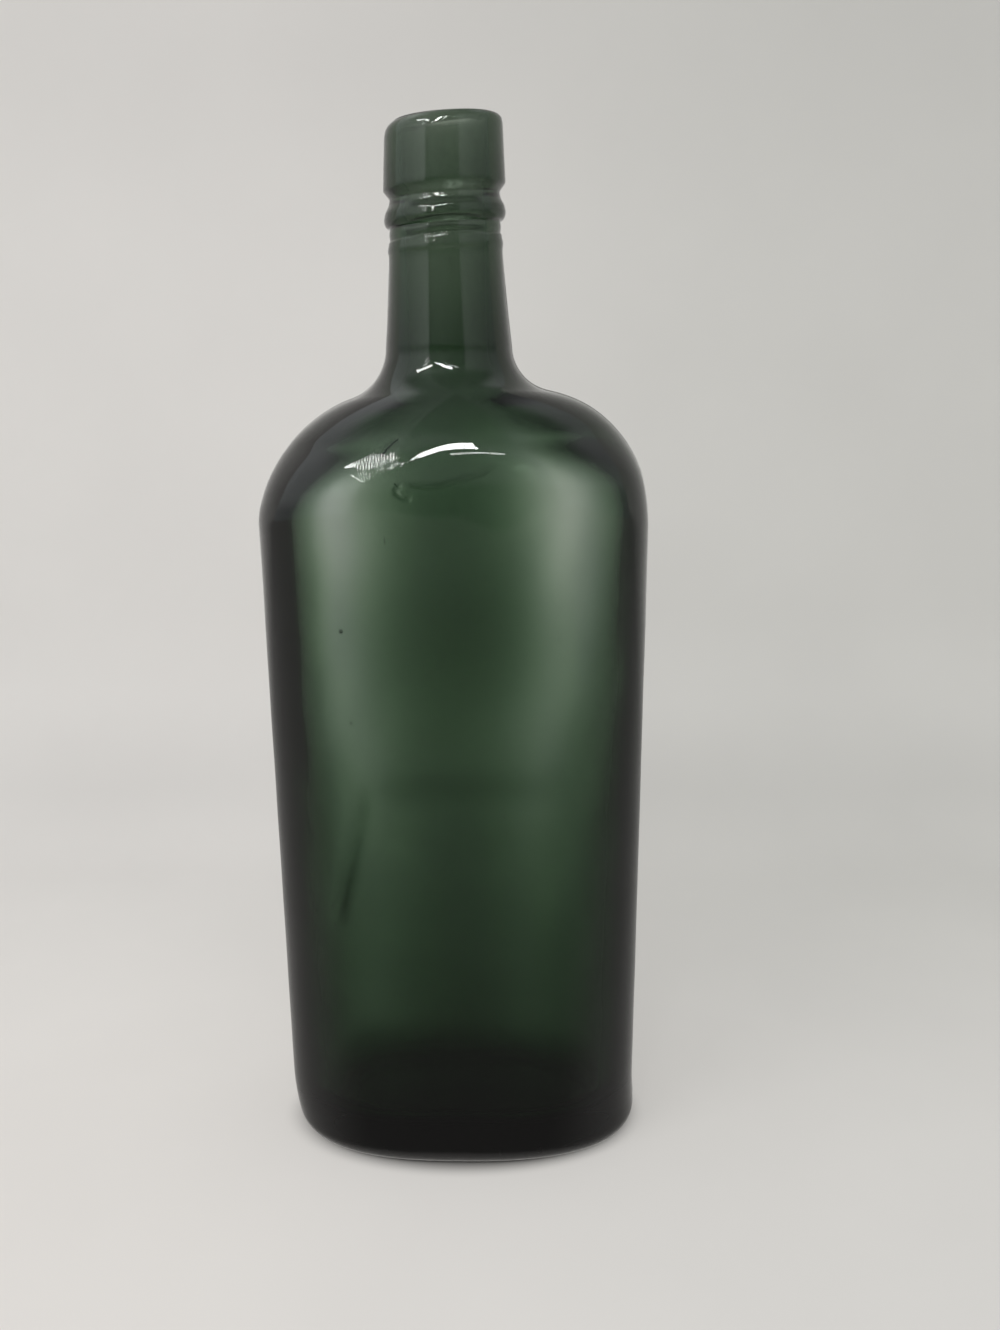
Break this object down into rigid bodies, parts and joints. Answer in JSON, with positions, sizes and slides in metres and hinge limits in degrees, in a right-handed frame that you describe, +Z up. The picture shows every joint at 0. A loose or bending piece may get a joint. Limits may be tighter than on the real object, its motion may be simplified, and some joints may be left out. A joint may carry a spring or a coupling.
{
  "type": "whisky bottle",
  "caption": "Mould-blown flask-shaped whisky bottle in dark green glass, oval in plan with broad round shoulders, a tapering neck and a crooked hand-applied lip, open and empty.",
  "frame": {"origin": "on the table under the middle of the base, at the centre of the object's outside box in X and Y", "axes": "+Z up along the bottle from base to lip, +X along the width of the broad faces, -Y out of the front face"},
  "size_m": [0.0896, 0.055, 0.2416],
  "materials": {
    "body_glass": "dark green bottle glass, blown in a mould, glossy with faint flow lines, seeds and handling scratches",
    "lip_glass": "dark green bottle glass, tooled by hand, glossy and slightly uneven"
  },
  "bodies": {
    "root": {"bottle_body": "body_glass", "applied_lip": "lip_glass"}
  },
  "joints": []
}
